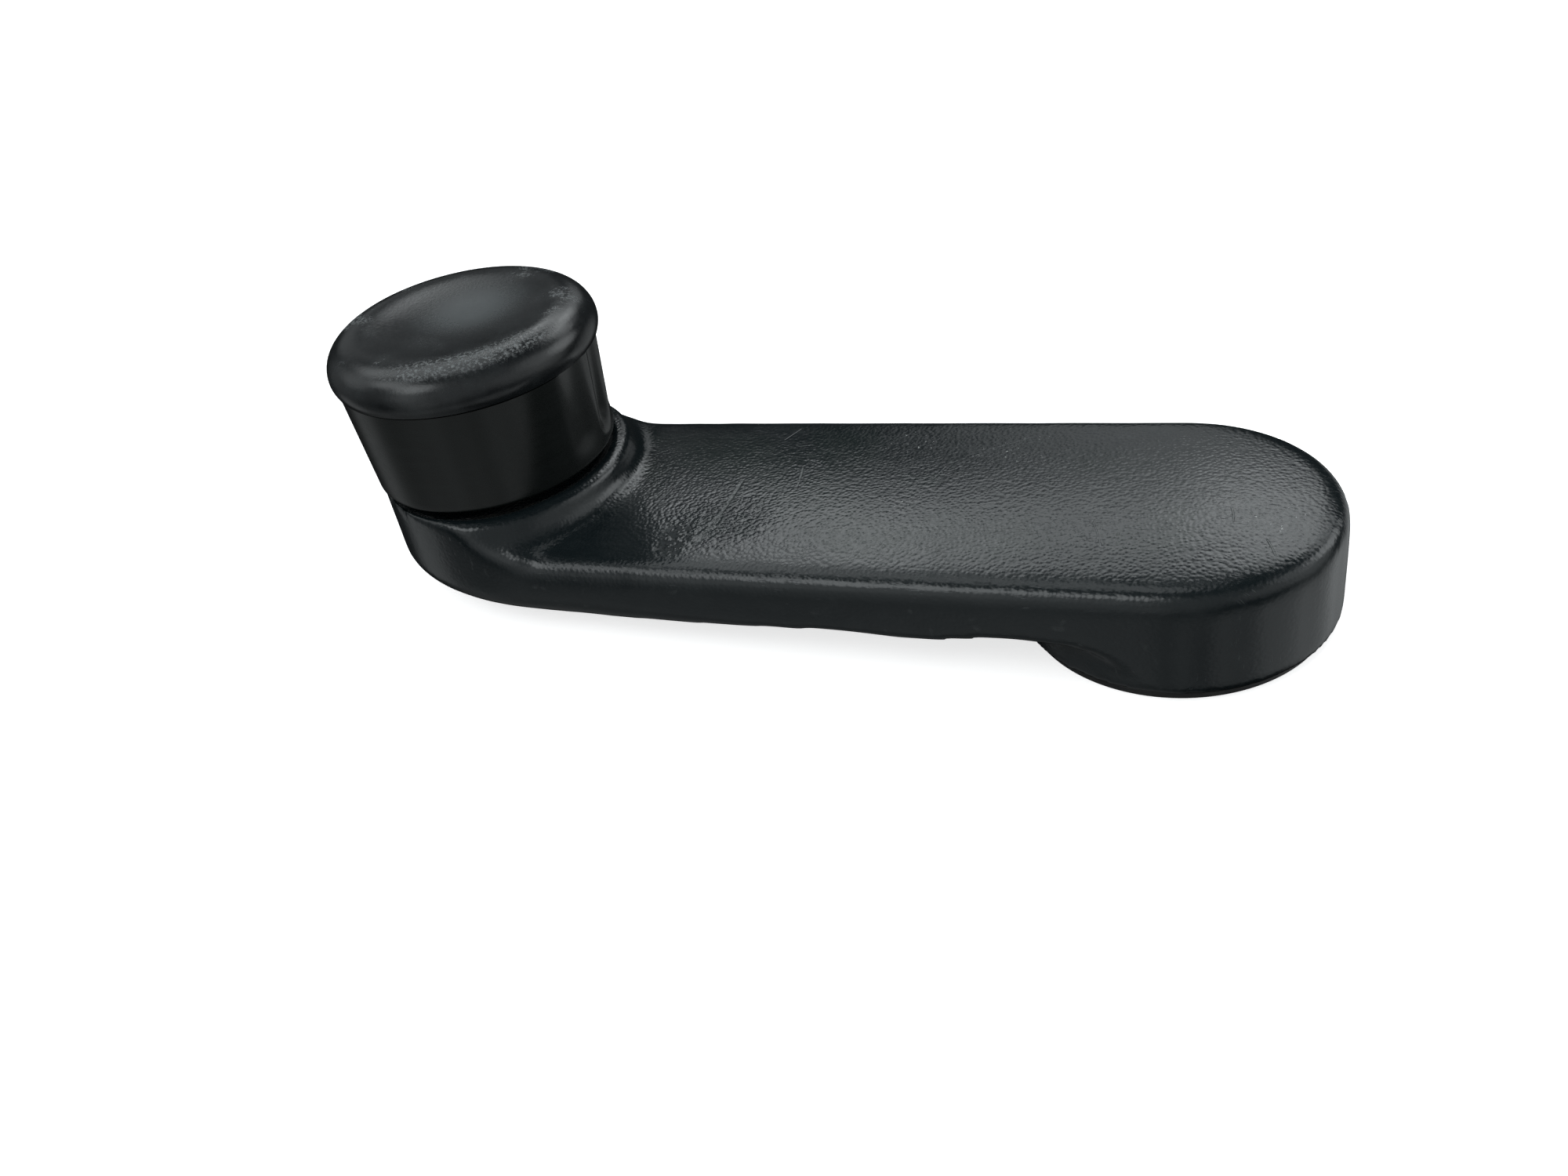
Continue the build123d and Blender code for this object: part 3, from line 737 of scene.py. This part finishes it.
def makeClip():
    end = clipShape["roundedEnd"]
    wire = (clipHigh.z - clipLow.z) / 2
    height = (clipHigh.z + clipLow.z) / 2
    legY = clipHigh.y - wire
    bowX = clipLow.x + clipHigh.y
    tip = clipHigh.x
    deselectAll()
    bpy.ops.mesh.primitive_circle_add(vertices=clipShape["sides"], radius=wire,
                                      location=(tip - end, -legY, height), rotation=(0, math.pi / 2, 0))
    clip = bpy.context.object
    clip.name = "clipWire"
    bpy.ops.object.transform_apply(location=True, rotation=True, scale=True)
    bpy.ops.object.mode_set(mode="EDIT")
    bpy.ops.mesh.select_all(action="SELECT")
    bpy.ops.mesh.extrude_region_move(TRANSFORM_OT_translate={"value": (bowX - tip + end, 0, 0)})
    bpy.ops.mesh.spin(steps=clipShape["bowSteps"], angle=-math.pi, center=(bowX, 0, height), axis=(0, 0, 1))
    bpy.ops.mesh.extrude_region_move(TRANSFORM_OT_translate={"value": (tip - end - bowX, 0, 0)})
    # both cut ends are rounded over and closed
    for side in (1, -1):
        bpy.ops.mesh.select_all(action="DESELECT")
        bpy.ops.object.mode_set(mode="OBJECT")
        for vertex in clip.data.vertices:
            vertex.select = vertex.co.x > tip - end - clipShape["endSlack"] and vertex.co.y * side > 0
        bpy.ops.object.mode_set(mode="EDIT")
        for step, shrink in clipShape["endSteps"]:
            bpy.ops.mesh.extrude_region_move(TRANSFORM_OT_translate={"value": (step, 0, 0)})
            bpy.ops.transform.resize(value=(1, shrink, shrink), center_override=(tip, side * legY, height))
        bpy.ops.mesh.edge_face_add()
    bpy.ops.mesh.select_all(action="SELECT")
    bpy.ops.mesh.remove_doubles(threshold=clipShape["weld"])
    bpy.ops.mesh.normals_make_consistent(inside=False)
    bpy.ops.object.mode_set(mode="OBJECT")
    smoothShade(clip, clipShape["smoothAngle"])
    dress(clip, "clip", "spring_steel", springSteel, "retaining_clip")


smallMetal = {"bushGrain": 0.2 * mm, "bushPasses": 1, "pinGrain": 0.26 * mm, "pinPasses": 2,
              "washerEdge": 0.12 * mm, "washerSegments": 2, "smoothAngle": 50, "washerSmoothAngle": 40}
# nodes that keep their CAD shape, under a finish of their own
keptNodes = (("thrust_washer", washerNylon), ("spring_washer", springSteel), ("push_nut", springSteel))


def makeSmallMetal():
    bush = remeshed("spline_bush", "splineBush", smallMetal["bushGrain"], smallMetal["bushPasses"])
    smoothShade(bush, smallMetal["smoothAngle"])
    dress(bush, "crank", "bush_metal", bushZinc, "spline_bush")
    pin = remeshed("knob_pin", "knobPin", smallMetal["pinGrain"], smallMetal["pinPasses"])
    smoothShade(pin, smallMetal["smoothAngle"])
    dress(pin, "crank", "pin_steel", pinSteel, "knob_pin")
    washer = copyNode("rivet_washer", "rivetWasher")
    bevelled(washer, smallMetal["washerEdge"], smallMetal["washerSegments"])
    smoothShade(washer, smallMetal["washerSmoothAngle"])
    dress(washer, "crank", "pin_steel", pinSteel, "rivet_washer")
    for name, material in keptNodes:
        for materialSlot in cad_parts[name].material_slots:
            materialSlot.material = material


makeRing()
makeClip()
makeSmallMetal()


floorLook = {"size": 6, "dark": (0.80, 0.80, 0.80), "pale": (0.84, 0.84, 0.84), "patch": 0.4,
             "roughness": 0.9, "specular": 0.1, "glow": 0.72}


def makeFloor():
    # a pale table that is seen from above only, and leaves the handle's own shading alone
    deselectAll()
    bpy.ops.mesh.primitive_plane_add(size=floorLook["size"], location=(0, 0, cadLow.z))
    floor = bpy.context.object
    floor.name = "floor"
    material, tree, shader, place = newFinish("paleFloor")
    tone = noise(tree, place, floorLook["patch"], 2)
    plug(tree, shader.inputs["Base Color"], blendColour(tree, tone, floorLook["dark"], floorLook["pale"]))
    shader.inputs["Roughness"].default_value = floorLook["roughness"]
    shader.inputs["Specular IOR Level"].default_value = floorLook["specular"]
    shader.inputs["Emission Color"].default_value = (1, 1, 1, 1)
    shader.inputs["Emission Strength"].default_value = floorLook["glow"]
    # from below the table is clear, so that the ribs and the boss can be looked at
    clear = tree.nodes.new("ShaderNodeBsdfTransparent")
    sides = tree.nodes.new("ShaderNodeMixShader")
    plug(tree, sides.inputs[0], tree.nodes.new("ShaderNodeNewGeometry").outputs["Backfacing"])
    plug(tree, sides.inputs[1], shader.outputs[0])
    plug(tree, sides.inputs[2], clear.outputs[0])
    output = next(node for node in tree.nodes if node.type == "OUTPUT_MATERIAL")
    plug(tree, output.inputs["Surface"], sides.outputs[0])
    floor.data.materials.append(material)
    floor.visible_glossy = False
    floor.visible_diffuse = False


room = {
    "tint": (0.94, 0.985, 1.0, 1),
    "base": 0.012,
    "backdrop": 0.9,
    # azimuth from +Y towards +X and height in degrees, inner and outer angle of the glow, its radiance
    "glows": [
        (-50, 18, 1, 12, 0.30), (-36, 18, 1, 12, 0.11), (-10, 18, 1, 12, 0.58), (-10, 33, 1, 12, 0.27),
        (3, 33, 1, 12, 1.23), (-36, 40, 1, 12, 0.65), (-23, 40, 1, 12, 1.23), (-29, 37, 1, 8, 1.60),
        (-10, 40, 1, 12, 1.33), (3, 40, 1, 12, 1.70), (-36, 48, 1, 12, 1.14), (16, 48, 1, 12, 1.90),
        (30, 40, 2, 16, 2.02), (-66, 48, 3, 18, 1.59), (-50, 74, 4, 22, 1.18), (56, 22, 3, 20, 2.30),
        (84, 32, 4, 24, 0.69), (80, 2, 4, 26, 0.50), (115, 12, 4, 28, 0.29), (-152, 47, 4, 18, 2.70),
        (-158, 20, 4, 20, 0.46), (-115, 50, 3, 16, 1.98), (-95, 30, 4, 22, 0.55), (-165, -8, 4, 22, 0.21),
        (-154, -35, 4, 22, 0.22), (-118, -32, 4, 22, 0.10), (-92, -27, 3, 16, 0.30), (30, -22, 5, 28, 0.42),
        (60, -36, 4, 24, 0.50), (95, -34, 4, 22, 0.57), (128, -36, 4, 22, 0.34), (155, -36, 3, 20, 0.20),
        (180, -40, 3, 20, 0.22), (-120, -66, 8, 40, 0.16), (180, 24, 10, 60, 0.38), (95, 26, 10, 45, 0.30),
        (-100, 18, 10, 45, 0.18)],
}


def makeWorld():
    # a dark room of soft round glows, most of them behind the handle and above it, some low by the sides
    world = bpy.data.worlds.new("studio")
    bpy.context.scene.world = world
    world.use_nodes = True
    tree = world.node_tree
    way = tree.nodes.new("ShaderNodeTexCoord").outputs["Generated"]
    total = room["base"]
    for azimuth, height, inner, outer, radiance in room["glows"]:
        around, up = math.radians(azimuth), math.radians(height)
        towards = (math.sin(around) * math.cos(up), math.cos(around) * math.cos(up), math.sin(up))
        near = vectorMath(tree, "DOT_PRODUCT", way, towards)
        glow = ramp(tree, near, math.cos(math.radians(outer)), math.cos(math.radians(inner)), 0.0, radiance)
        total = plus(tree, total, glow)
    # looked at directly, the room is one plain pale tone
    seen = tree.nodes.new("ShaderNodeLightPath").outputs["Is Camera Ray"]
    unseen = mathNode(tree, "SUBTRACT", 1.0, seen)
    total = plus(tree, times(tree, total, unseen), times(tree, seen, room["backdrop"]))
    back = tree.nodes["Background"]
    plug(tree, back.inputs["Color"], room["tint"])
    plug(tree, back.inputs["Strength"], total)


fillLamp = {"towards": (0.1, -0.3, 0.95), "distance": 1.6, "size": 1.6, "radiance": 0.9,
            "tint": (1.0, 1.0, 1.0)}


def makeFillLamp():
    # one wide lamp over the front, aimed at the middle of the handle and left out of its reflections
    away = Vector(fillLamp["towards"]).normalized()
    lamp = bpy.data.lights.new("fill", "AREA")
    lamp.shape = "SQUARE"
    lamp.size = fillLamp["size"]
    # radiance is how bright the lamp's face looks
    lamp.energy = fillLamp["radiance"] * math.pi * fillLamp["size"] ** 2
    lamp.color = fillLamp["tint"]
    holder = bpy.data.objects.new("fill", lamp)
    bpy.context.collection.objects.link(holder)
    holder.location = (cadLow + cadHigh) / 2 + away * fillLamp["distance"]
    holder.rotation_euler = away.to_track_quat("Z", "Y").to_euler()
    holder.visible_glossy = False


# angles in degrees, lens and sensor in millimetres, and how near and far the camera sees
view = {"elevation": 35.77, "azimuth": 26.09, "roll": -11.06, "lens": 32.4, "sensor": 36,
        "place": Vector((15.94, -132.54, 103.34)) * mm, "near": 0.005, "far": 20}


def makeCamera():
    # back, right and up from the viewing angles, then the roll
    elevation, azimuth, roll = (math.radians(view[angle]) for angle in ("elevation", "azimuth", "roll"))
    back = Vector((math.sin(azimuth) * math.cos(elevation), -math.cos(azimuth) * math.cos(elevation),
                   math.sin(elevation)))
    right = Vector((math.cos(azimuth), math.sin(azimuth), 0))
    up = back.cross(right)
    rolledRight = right * math.cos(roll) + up * math.sin(roll)
    rolledUp = up * math.cos(roll) - right * math.sin(roll)
    lens = bpy.data.cameras.new("camera")
    lens.lens = view["lens"]
    lens.sensor_width = view["sensor"]
    lens.clip_start = view["near"]
    lens.clip_end = view["far"]
    camera = bpy.data.objects.new("camera", lens)
    bpy.context.collection.objects.link(camera)
    turn = Matrix((rolledRight, rolledUp, back)).transposed().to_4x4()
    turn.translation = view["place"]
    camera.matrix_world = turn
    bpy.context.scene.camera = camera


makeFloor()
makeWorld()
makeFillLamp()
makeCamera()
bpy.context.scene.view_settings.view_transform = "Standard"
print("studio set")
